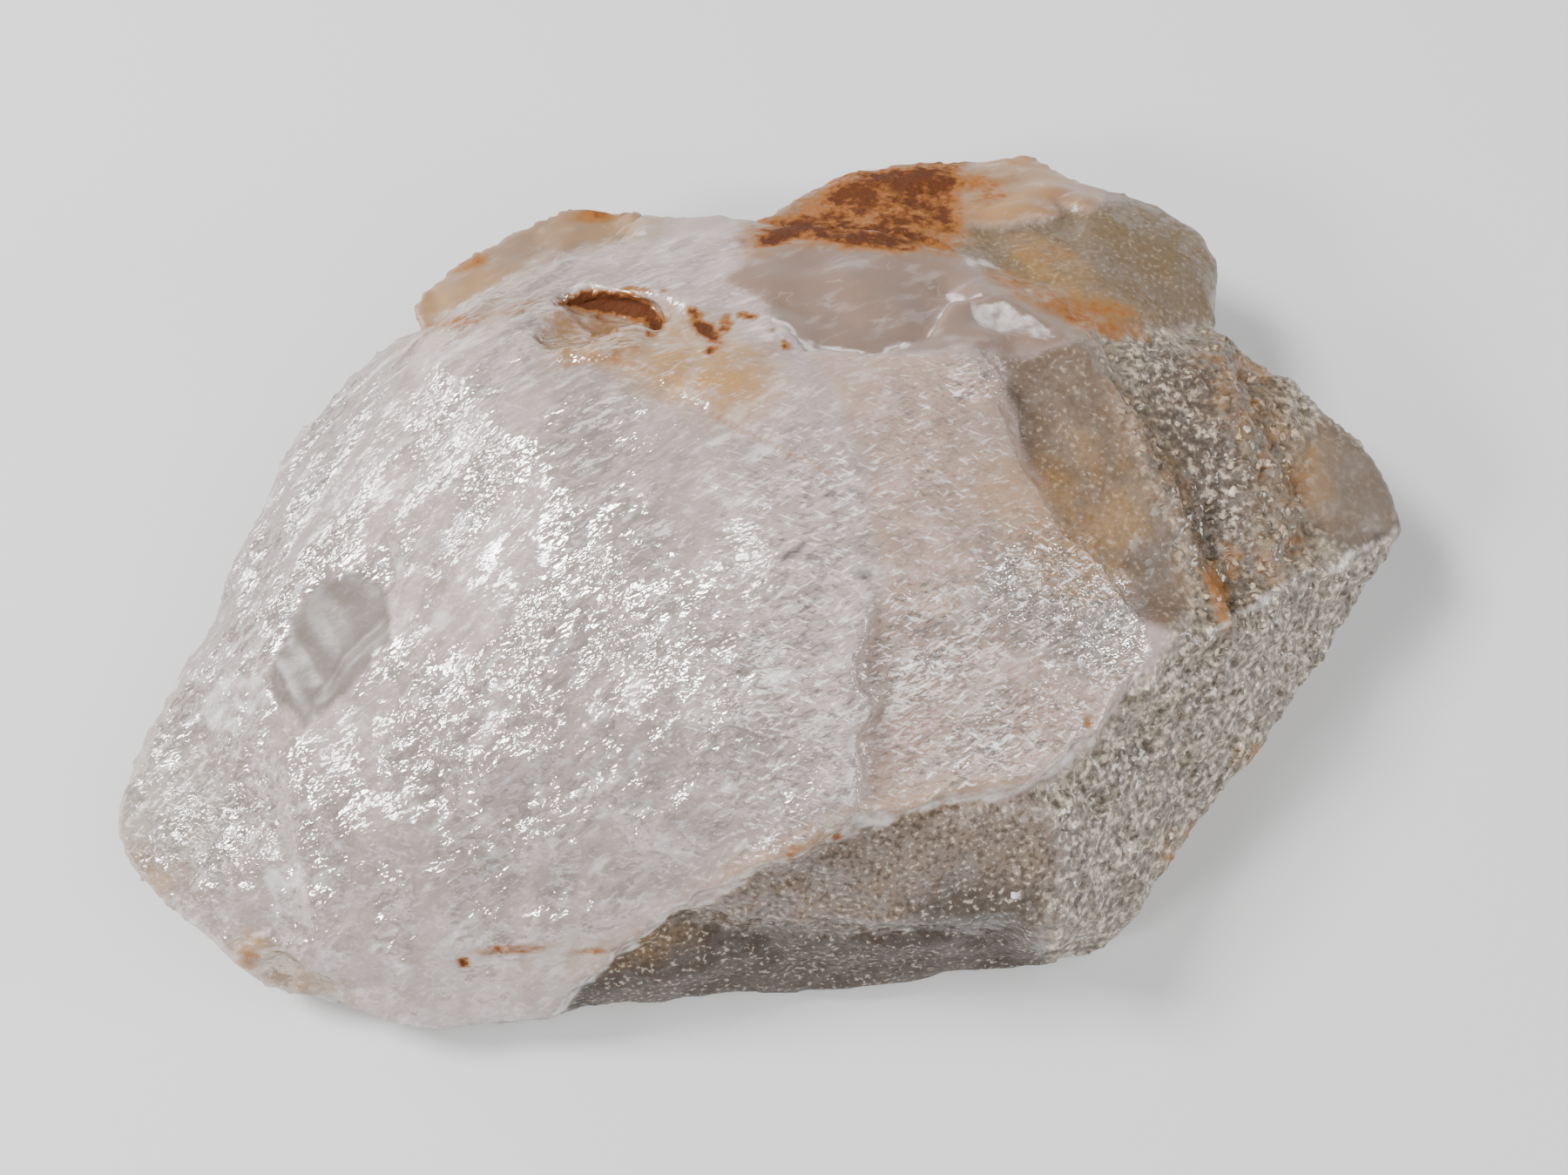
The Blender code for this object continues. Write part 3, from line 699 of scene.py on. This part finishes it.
def paint_ground(points, drawn, facing, sugar, colours):
    """The colour of the stone's surfaces, each area painted over the ones before it."""
    milky = smoothstep(-0.3, 0.5, lumps(points, 13.0, 2, 61))[:, None]
    hidden = np.array(colours.green) * (1 - milky) + np.array(colours.dome) * milky
    grainy = 0.9 * smoothstep(0.1, 0.8, sugar)[:, None]
    hidden = hidden * (1 - grainy) + np.array(colours.sugar) * grainy
    ground = np.tile(np.array(colours.dome), (len(points), 1))
    for name, soft in PAINTED.items():
        share = inside(drawn, name, soft)[:, None]
        ground = ground * (1 - share) + np.array(getattr(colours, name)) * share
    return joined(facing[:, None], ground, hidden)


def most_of(drawn, amounts, soft):
    """The largest of several areas' amounts at each point."""
    return np.max([amount * inside(drawn, name, soft) for name, amount in amounts.items()], 0)


def milk_share(points, drawn, facing):
    """How milky the stone is, cloud by cloud where the sketch doesn't see it."""
    seen = most_of(drawn, MILKY, 0.4) * (1 - 0.7 * inside(drawn, "cheek", 0.25))
    clouds = smoothstep(-0.2, 0.5, lumps(points, 13.0, 2, 61))
    return joined(facing, seen, 0.25 + 0.5 * clouds)


def stain_share(points, drawn, exact, facing):
    """How stained with iron the stone is."""
    seen = blots(exact, STAINS)
    for name, (amount, soft) in STAINED.items():
        seen = np.maximum(seen, amount * inside(exact, name, soft))
    for name, (amount, width) in STAINED_LINES.items():
        seen = np.maximum(seen, amount * near_line(drawn, name, width))
    return joined(facing, seen, 0.75 * smoothstep(0.35, 0.8, lumps(points, 7.0, 3, 62)))


def veil_and_painted_glint_share(points, drawn, facing):
    """White over the stone: painted glints, a white facet, pale edges and the front wall's foot."""
    veil = most_of(drawn, PAINTED_GLINT_PATCHES, 0.5)
    veil = np.maximum(veil, 0.5 * inside(drawn, "white_facet", 0.2))
    for name, (amount, width) in PALE_LINES.items():
        veil = np.maximum(veil, amount * near_line(drawn, name, width))
    low_edge = 0.6 * inside(drawn, "low_wall", 0.4) * smoothstep(0.5, 0.25, points[:, 2])
    return np.maximum(veil, low_edge) * facing


def flake_share(drawn, facing):
    """How flaky the stone is."""
    flaky = np.maximum(inside(drawn, "plate", 0.6), inside(drawn, "dome", 0.4))
    flaky *= (0.2 + blots(drawn, FLAKY)) * (1 - 0.8 * inside(drawn, "cheek", 0.25))
    return joined(facing, flaky, 0.4)


def paint_shares(points, drawn, facing):
    """How milky, rippled, stained, veiled, painted with glints and so on the stone is at each
    point, 0 to 1.
    """
    wander = np.stack([lumps(points, 0.8, 2, 3), lumps(points, 0.8, 2, 4)], 1)
    exact = on_sketch(points) + 0.12 * wander
    sugar = sugar_share(points, drawn, facing)
    crest = np.maximum(near_line(drawn, "inner_crest", 1.3), near_line(drawn, "outer_crest", 2.2))
    return {
        "milk": milk_share(points, drawn, facing),
        "sugar": sugar,
        "grit": np.maximum(most_of(drawn, GRITTY, 0.4) * facing, 0.7 * sugar),
        "crest": crest * sugar * facing,
        "ripple": ripple_share(points, drawn) * facing,
        "flake": flake_share(drawn, facing),
        "dull": most_of(drawn, DULL, 0.5) * facing,
        "dry": inside(drawn, "low_wall", 0.6) * facing,
        "stain": stain_share(points, drawn, exact, facing),
        "veil": veil_and_painted_glint_share(points, drawn, facing),
        "ochre": blots(drawn, TINTED) * facing,
        "seam": near_line(exact, "crack", 0.24) * facing,
        "fleck": blots(exact, FLECKS, 3.0) * facing,
    }


def paint_skin(stone, colours):
    """Stores the ground colour and the shares as named values of the mesh's points."""
    points, normals = read_skin(stone)
    drawn = drawn_places(points)
    facing = smoothstep(-0.1, 0.25, -(normals @ sight()[3]))
    shares = paint_shares(points, drawn, facing)
    for name, values in shares.items():
        attribute = stone.data.attributes.new(name, "FLOAT", "POINT")
        attribute.data.foreach_set("value", np.clip(values, 0, 1.2))
    ground = paint_ground(points, drawn, facing, shares["sugar"], colours)
    attribute = stone.data.attributes.new("ground", "FLOAT_COLOR", "POINT")
    attribute.data.foreach_set("color", np.column_stack([ground, np.ones(len(ground))]).ravel())


# ---------- materials


class Socket:
    """An output socket that can be used in arithmetic."""

    def __init__(self, recipe, link):
        self.recipe = recipe
        self.link = link

    def maths(self, operation, first, second):
        return self.recipe.node(
            "ShaderNodeMath", {"operation": operation}, {0: first, 1: second}
        )

    def __add__(self, other):
        return self.maths("ADD", self, other)

    def __radd__(self, other):
        return self.maths("ADD", other, self)

    def __sub__(self, other):
        return self.maths("SUBTRACT", self, other)

    def __rsub__(self, other):
        return self.maths("SUBTRACT", other, self)

    def __mul__(self, other):
        return self.maths("MULTIPLY", self, other)

    def __rmul__(self, other):
        return self.maths("MULTIPLY", other, self)


class Recipe:
    """The node tree of one material."""

    def __init__(self, name):
        self.material = bpy.data.materials.new(name)
        self.material.use_nodes = True
        self.tree = self.material.node_tree
        self.tree.nodes.clear()

    def node(self, kind, settings=None, inputs=None, output=0):
        """Adds a node, its settings first and then its inputs, and returns one output."""
        made = self.tree.nodes.new(kind)
        for name, value in (settings or {}).items():
            setattr(made, name, value)
        for name, value in (inputs or {}).items():
            if isinstance(value, Socket):
                self.tree.links.new(value.link, made.inputs[name])
            else:
                made.inputs[name].default_value = value
        return Socket(self, made.outputs[output]) if len(made.outputs) else None

    def share(self, name):
        return self.node("ShaderNodeAttribute", {"attribute_name": name}, output="Fac")

    def ramp(self, low, high, value):
        """0 at low, 1 at high and beyond, smooth between."""
        return self.node(
            "ShaderNodeMapRange",
            {"interpolation_type": "SMOOTHSTEP"},
            {"Value": value, "From Min": low, "From Max": high},
        )

    def vector(self, operation, first, second, output=0):
        return self.node(
            "ShaderNodeVectorMath", {"operation": operation}, {0: first, 1: second}, output
        )

    def place(self, size, turn=0.0, wander=0.0):
        """Object coordinates counted in a size or in three, turned and made to wander."""
        sizes = size if isinstance(size, tuple) else (size, size, size)
        where = self.node("ShaderNodeTexCoord", output="Object")
        if turn:
            turned_by = (0, 0, -math.radians(turn))
            where = self.node("ShaderNodeMapping", {}, {"Vector": where, "Rotation": turned_by})
        counts = tuple(1 / (length * MM) for length in sizes)
        where = self.node("ShaderNodeMapping", {}, {"Vector": where, "Scale": counts})
        if wander:
            sway = self.node(
                "ShaderNodeTexNoise", {}, {"Vector": where, "Scale": 0.9, "Detail": 2.0}, "Color"
            )
            sway = self.vector("SUBTRACT", sway, (0.5, 0.5, 0.5))
            sway = self.vector("MULTIPLY", sway, (wander, wander, wander))
            where = self.vector("ADD", where, sway)
        return where

    def cloud(self, size, turn=0.0, detail=2.0):
        """Soft noise from 0 to 1, with lumps of a size in millimetres."""
        return self.node(
            "ShaderNodeTexNoise", {},
            {"Vector": self.place(size, turn), "Scale": 1.0, "Detail": detail},
        )

    def ripples(self, size, turn=0.0, detail=2.0):
        """The same noise from -0.5 to 0.5."""
        return self.cloud(size, turn, detail) - 0.5

    def cells(self, size, turn=0.0, wander=0.0):
        """Distance from the middle of the nearest cell, a random value of it, and facet heights."""
        where = self.place(size, turn, wander)
        voronoi = self.node("ShaderNodeTexVoronoi", {}, {"Vector": where, "Scale": 1.0})
        outputs = voronoi.link.node.outputs
        middle = Socket(self, outputs["Position"])
        chance = Socket(self, outputs["Color"])
        tilt = self.vector("SUBTRACT", chance, (0.5, 0.5, 0.5))
        facet = self.vector("DOT_PRODUCT", tilt, self.vector("SUBTRACT", where, middle), "Value")
        pick = self.node("ShaderNodeSeparateColor", {}, {"Color": chance})
        return voronoi, pick, facet

    def tint(self, share, first, second):
        """The first colour, with this share of the second laid over it."""
        pair = [each if isinstance(each, Socket) else opaque(each) for each in (first, second)]
        return self.node(
            "ShaderNodeMix", {"data_type": "RGBA", "clamp_factor": True},
            {0: share, 6: pair[0], 7: pair[1]}, 2,
        )

    def shader(self, inputs):
        return self.node("ShaderNodeBsdfPrincipled", {}, inputs)

    def mixed(self, share, first, second):
        return self.node("ShaderNodeMixShader", {}, {0: share, 1: first, 2: second})


def opaque(colour):
    return (*colour, 1.0)


def stone_relief(recipe, sizes):
    """The fine relief in millimetres, then the strokes, crystals and flakes the colour follows."""
    stroke = (sizes.glint_length / MM, sizes.glint_width / MM, 0.7)
    _, _, strokes = recipe.cells(stroke, 33, 1.1)
    _, _, beads = recipe.cells(*BEADS, 1.2)
    glossy = strokes * RELIEF["strokes"] + beads * RELIEF["beads"]
    glossy = glossy + recipe.ripples(*WAVES) * RELIEF["waves"]
    height = glossy * recipe.share("ripple")

    distance, chance, _ = recipe.cells(sizes.bead_size / MM, 0.0, 1.5)
    crystal = recipe.ramp(0.5, 0.1, distance)
    tall = recipe.share("sugar") * RELIEF["crystals"]
    tall = tall + recipe.share("crest") * RELIEF["crest_crystals"]
    height = height + crystal * chance * tall
    _, _, facets = recipe.cells(0.36)
    height = height + facets * RELIEF["facets"] * recipe.share("grit")

    rim, tone, flakes = recipe.cells(*FLAKES, 2.6)
    flaky = flakes * RELIEF["flakes"] + recipe.ripples(*SCRATCHES) * RELIEF["scratches"]
    height = height + flaky * recipe.share("flake")

    stained = recipe.ramp(0.5, 0.9, recipe.share("stain"))
    height = height + recipe.ripples(0.35) * RELIEF["rust"] * stained
    return height, strokes, crystal, chance, rim, tone


def stain_level(recipe):
    """The painted stain with its edges broken up by grain."""
    painted = recipe.share("stain")
    fine = recipe.ripples(0.45, detail=3.0)
    coarse = recipe.ripples(1.6, detail=3.0)
    return painted + (fine * 0.75 + coarse * 0.9) * recipe.ramp(0.0, 0.25, painted)


def clouded_colour(recipe, colours):
    """The painted ground with smoke, white wisps and veins, yellow tints and dark specks."""
    ground = recipe.node("ShaderNodeAttribute", {"attribute_name": "ground"}, output="Color")
    milk = recipe.share("milk")
    smoke = recipe.ramp(0.62, 0.36, recipe.cloud(3.2, detail=4.0)) * 0.3
    smoke = smoke + recipe.ramp(0.6, 0.4, recipe.cloud(*SMOKE_MARKS, 3.0)) * 0.12
    colour = recipe.tint(smoke, ground, colours.smoke_and_fold_shade)
    wisps = recipe.ramp(0.54, 0.7, recipe.cloud(*WISPS, 5.0)) * milk * milk
    colour = recipe.tint(wisps * 0.45, colour, colours.veil)
    across = recipe.node("ShaderNodeMath", {"operation": "ABSOLUTE"}, {0: recipe.ripples(*VEINS)})
    veins = recipe.ramp(0.03, 0.0, across)
    veins = veins * recipe.ramp(0.5, 0.65, recipe.cloud(1.9)) * milk
    colour = recipe.tint(veins * 0.25, colour, colours.veil)
    yellow = recipe.share("ochre") * recipe.ramp(0.15, 0.6, recipe.cloud(0.9, detail=3.0))
    colour = recipe.tint(yellow * 0.85, colour, colours.ochre)
    speck, chance, _ = recipe.cells(0.55)
    specks = recipe.ramp(0.3, 0.12, speck) * recipe.ramp(0.7, 0.75, chance)
    return recipe.tint(specks * recipe.share("dull") * 0.5, colour, colours.smoke_and_fold_shade)


def flaked_colour(recipe, colours, colour, strokes, rim, tone):
    """Painted shade in the folds between the glossy ripples, and dark and pale scratches and
    flakes.
    """
    flake = recipe.share("flake")
    # Painted shade: the low side of each glossy ripple facet is darkened in the smoke colour.
    folds = recipe.ramp(0.0, -0.2, strokes) * recipe.share("ripple")
    colour = recipe.tint(folds * 0.5, colour, colours.smoke_and_fold_shade)
    streaks = recipe.cloud(*STREAKS)
    needles = recipe.cloud(*NEEDLES)
    dark = recipe.ramp(0.41, 0.36, streaks) + recipe.ramp(0.38, 0.33, needles)
    colour = recipe.tint(dark * flake, colour, colours.smoke_and_fold_shade)
    colour = recipe.tint(recipe.ramp(0.3, 0.0, tone) * flake * 0.3, colour, colours.smoke_and_fold_shade)
    pale = recipe.ramp(0.4, 0.7, rim) * recipe.ramp(0.5, 0.9, tone) * 0.3
    pale = pale + recipe.ramp(0.62, 0.66, streaks) + recipe.ramp(0.63, 0.67, needles)
    return recipe.tint(pale * flake, colour, colours.veil)


def grained_colour(recipe, colours, colour, crystal, chance):
    """Pale and yellow crystals with dark gaps, partly painted highlight on ridges and shade in
    hollows.
    """
    sugar = recipe.share("sugar")
    grit = recipe.share("grit")
    crest = recipe.share("crest")
    fine = recipe.cloud(0.27)
    colour = recipe.tint(recipe.ramp(0.5, 0.36, fine) * grit * 0.75, colour, colours.gap)
    colour = recipe.tint(recipe.ramp(0.58, 0.68, fine) * grit * 0.4, colour, colours.grain)
    # Painted shade: the low rims of the crystals are darkened.
    colour = recipe.tint(recipe.ramp(0.7, 0.05, crystal) * sugar * 0.5, colour, colours.gap)
    worms = recipe.cloud(0.43, detail=3.0)
    colour = recipe.tint(recipe.ramp(0.49, 0.38, worms) * sugar * 0.7, colour, colours.gap)
    colour = recipe.tint(recipe.ramp(0.6, 0.2, crystal) * crest * 0.45, colour, colours.gap)
    # Partly the crystals' pale colour, partly painted highlight on the grain ridges and bead tops.
    bead = recipe.ramp(0.4, 0.7, chance) * recipe.ramp(0.3, 0.8, crystal)
    pale = recipe.ramp(0.53, 0.65, worms) * 0.8 * (1 - crest) + bead * (0.6 + crest * 0.6)
    grain = recipe.tint(crest * 0.9, colours.grain, colours.crest_grain)
    return recipe.tint(pale * sugar * 0.75, colour, grain)


def stained_colour(recipe, colours, colour, stain):
    """White veils and painted glints, then iron stains from tan to rust, the rusty crack, dark
    needles.
    """
    ragged = recipe.ripples(0.7, detail=3.0) * 0.7
    # Painted highlight in part: this white share includes the two painted glint patches.
    veil = recipe.ramp(0.3, 0.7, recipe.share("veil") + ragged)
    colour = recipe.tint(veil * 0.7, colour, colours.veil)
    for name, (low, high, amount) in IRON.items():
        share = recipe.ramp(low, high, stain) * amount
        colour = recipe.tint(share, colour, getattr(colours, name))
    seam = recipe.ramp(0.35, 1.0, recipe.share("seam"))
    colour = recipe.tint(seam * 0.55, colour, colours.orange)
    return recipe.tint(recipe.share("fleck") * 0.8, colour, colours.inclusion)


def quartz_material(sizes, colours):
    """Cloudy quartz: milky or smoky, with glossy ripples, and matt where it is dry."""
    recipe = Recipe("smoky_quartz")
    height, strokes, crystal, chance, rim, tone = stone_relief(recipe, sizes)
    stain = stain_level(recipe)
    colour = clouded_colour(recipe, colours)
    colour = flaked_colour(recipe, colours, colour, strokes, rim, tone)
    colour = grained_colour(recipe, colours, colour, crystal, chance)
    colour = stained_colour(recipe, colours, colour, stain)
    normal = recipe.node(
        "ShaderNodeBump", {}, {"Strength": 1.0, "Distance": MM, "Height": height}
    )
    ripple = recipe.share("ripple")
    sheen = 0.18 * recipe.share("grit") + 0.12 * recipe.share("flake") + 0.1 * ripple
    surface = {"Base Color": colour, "Normal": normal}
    depth = {"Subsurface Radius": (1.0, 0.85, 0.75), "Subsurface Scale": 1.5 * MM}
    body = {
        **surface, **depth, "Roughness": 0.36 - sheen + 0.1 * recipe.share("dull"), "IOR": 1.544,
    }
    smoky = recipe.shader({**body, "Subsurface Weight": 0.3, "Specular IOR Level": 0.35})
    milky = recipe.shader({**body, "Subsurface Weight": 0.45, "Specular IOR Level": 0.6})
    glossy = recipe.shader({
        **surface, **depth, "Subsurface Weight": 0.45, "Roughness": 0.1, "IOR": 2.0,
        "Specular IOR Level": 0.9,
    })
    matt = recipe.shader({**surface, "Roughness": 0.75, "Specular IOR Level": 0.15})
    mixed = recipe.mixed(recipe.ramp(0.1, 0.75, recipe.share("milk")), smoky, milky)
    mixed = recipe.mixed(recipe.ramp(0.1, 0.6, ripple), mixed, glossy)
    dry = recipe.ramp(0.4, 0.8, stain + 0.65 * recipe.share("dry"))
    mixed = recipe.mixed(dry, mixed, matt)
    recipe.node("ShaderNodeOutputMaterial", {}, {"Surface": mixed})
    return recipe.material


def floor_material(settings):
    recipe = Recipe("pale_floor")
    shader = recipe.shader({"Base Color": opaque(settings.floor_colour), "Roughness": 0.7})
    recipe.node("ShaderNodeOutputMaterial", {}, {"Surface": shader})
    return recipe.material


# ---------- the stage


def add_area_light(name, azimuth, elevation, distance, size, power):
    """A square light that looks at the stone from a compass direction and a height in degrees."""
    round_by, up_by = math.radians(azimuth), math.radians(elevation)
    way = Vector((
        math.sin(round_by) * math.cos(up_by),
        -math.cos(round_by) * math.cos(up_by),
        math.sin(up_by),
    ))
    light = bpy.data.lights.new(name, "AREA")
    light.size = size
    light.energy = power
    lamp = bpy.data.objects.new(name, light)
    lamp.location = Vector((0, 0, 10 * MM)) + way * distance
    lamp.rotation_euler = way.to_track_quat("Z", "Y").to_euler()
    bpy.context.scene.collection.objects.link(lamp)


def add_camera():
    """The camera stands at the sketch's viewing point."""
    eye, _, _, ahead = sight()
    camera = bpy.data.cameras.new("camera")
    camera.sensor_width = SENSOR
    camera.lens = FRAME_DISTANCE / FRAME_WIDTH * SENSOR
    camera.clip_start = 5 * MM
    camera.clip_end = 10
    holder = bpy.data.objects.new("camera", camera)
    holder.location = Vector(eye) * MM
    holder.rotation_euler = (-Vector(ahead)).to_track_quat("Z", "Y").to_euler()
    bpy.context.scene.collection.objects.link(holder)
    bpy.context.scene.camera = holder


def add_floor(settings):
    bm = bmesh.new()
    bmesh.ops.create_circle(bm, cap_ends=True, segments=96, radius=settings.floor_radius)
    mesh = bpy.data.meshes.new("floor")
    bm.to_mesh(mesh)
    bm.free()
    floor = bpy.data.objects.new("floor", mesh)
    bpy.context.scene.collection.objects.link(floor)
    mesh.materials.append(floor_material(settings))


class QUARTZ_OT_stone(bpy.types.Operator):
    """Build the finished stone over its plain solid"""

    bl_idname = "quartz.stone"
    bl_label = "Stone"

    def execute(self, context):
        sizes = context.scene.quartz_sizes
        colours = context.scene.quartz_colours
        stone = fine_copy("quartz", sizes)
        work_skin(stone, sizes)
        close_foot(stone)
        paint_skin(stone, colours)
        stone.data.materials.clear()
        stone.data.materials.append(quartz_material(sizes, colours))
        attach(stone, "root")
        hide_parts("quartz")
        return {"FINISHED"}


class QUARTZ_OT_stage(bpy.types.Operator):
    """Lay the pale floor and set up the lights and the camera"""

    bl_idname = "quartz.stage"
    bl_label = "Stage"

    def execute(self, context):
        settings = context.scene.quartz_stage
        add_floor(settings)
        add_camera()
        for name, stand in LIGHTS.items():
            add_area_light(name, *stand, getattr(settings, f"{name}_power"))
        world = bpy.data.worlds.new("sky")
        world.use_nodes = True
        sky = world.node_tree.nodes["Background"]
        sky.inputs["Color"].default_value = (1, 1, 1, 1)
        sky.inputs["Strength"].default_value = settings.sky_strength
        context.scene.world = world
        return {"FINISHED"}


class QUARTZ_PT_panel(bpy.types.Panel):
    """Lists what can be built and its sizes and colours"""

    bl_idname = "QUARTZ_PT_panel"
    bl_label = "Smoky Quartz"
    bl_space_type = "VIEW_3D"
    bl_region_type = "UI"
    bl_category = "Quartz"

    def draw(self, context):
        scene = context.scene
        for operator, groups in (
            (QUARTZ_OT_stone, (scene.quartz_sizes, scene.quartz_colours)),
            (QUARTZ_OT_stage, (scene.quartz_stage,)),
        ):
            box = self.layout.box()
            box.operator(operator.bl_idname)
            for group in groups:
                for name in group.__annotations__:
                    box.prop(group, name)


GROUPS = {
    "quartz_sizes": StoneSizes, "quartz_colours": StoneColours, "quartz_stage": StageSettings,
}
CLASSES = (*GROUPS.values(), QUARTZ_OT_stone, QUARTZ_OT_stage, QUARTZ_PT_panel)


def register():
    for cls in CLASSES:
        bpy.utils.register_class(cls)
    for name, group in GROUPS.items():
        setattr(bpy.types.Scene, name, PointerProperty(type=group))


def unregister():
    for name in GROUPS:
        delattr(bpy.types.Scene, name)
    for cls in reversed(CLASSES):
        bpy.utils.unregister_class(cls)


def main():
    register()
    bpy.ops.quartz.stage()
    bpy.ops.quartz.stone()
    bpy.context.view_layer.update()


if __name__ == "__main__":
    main()
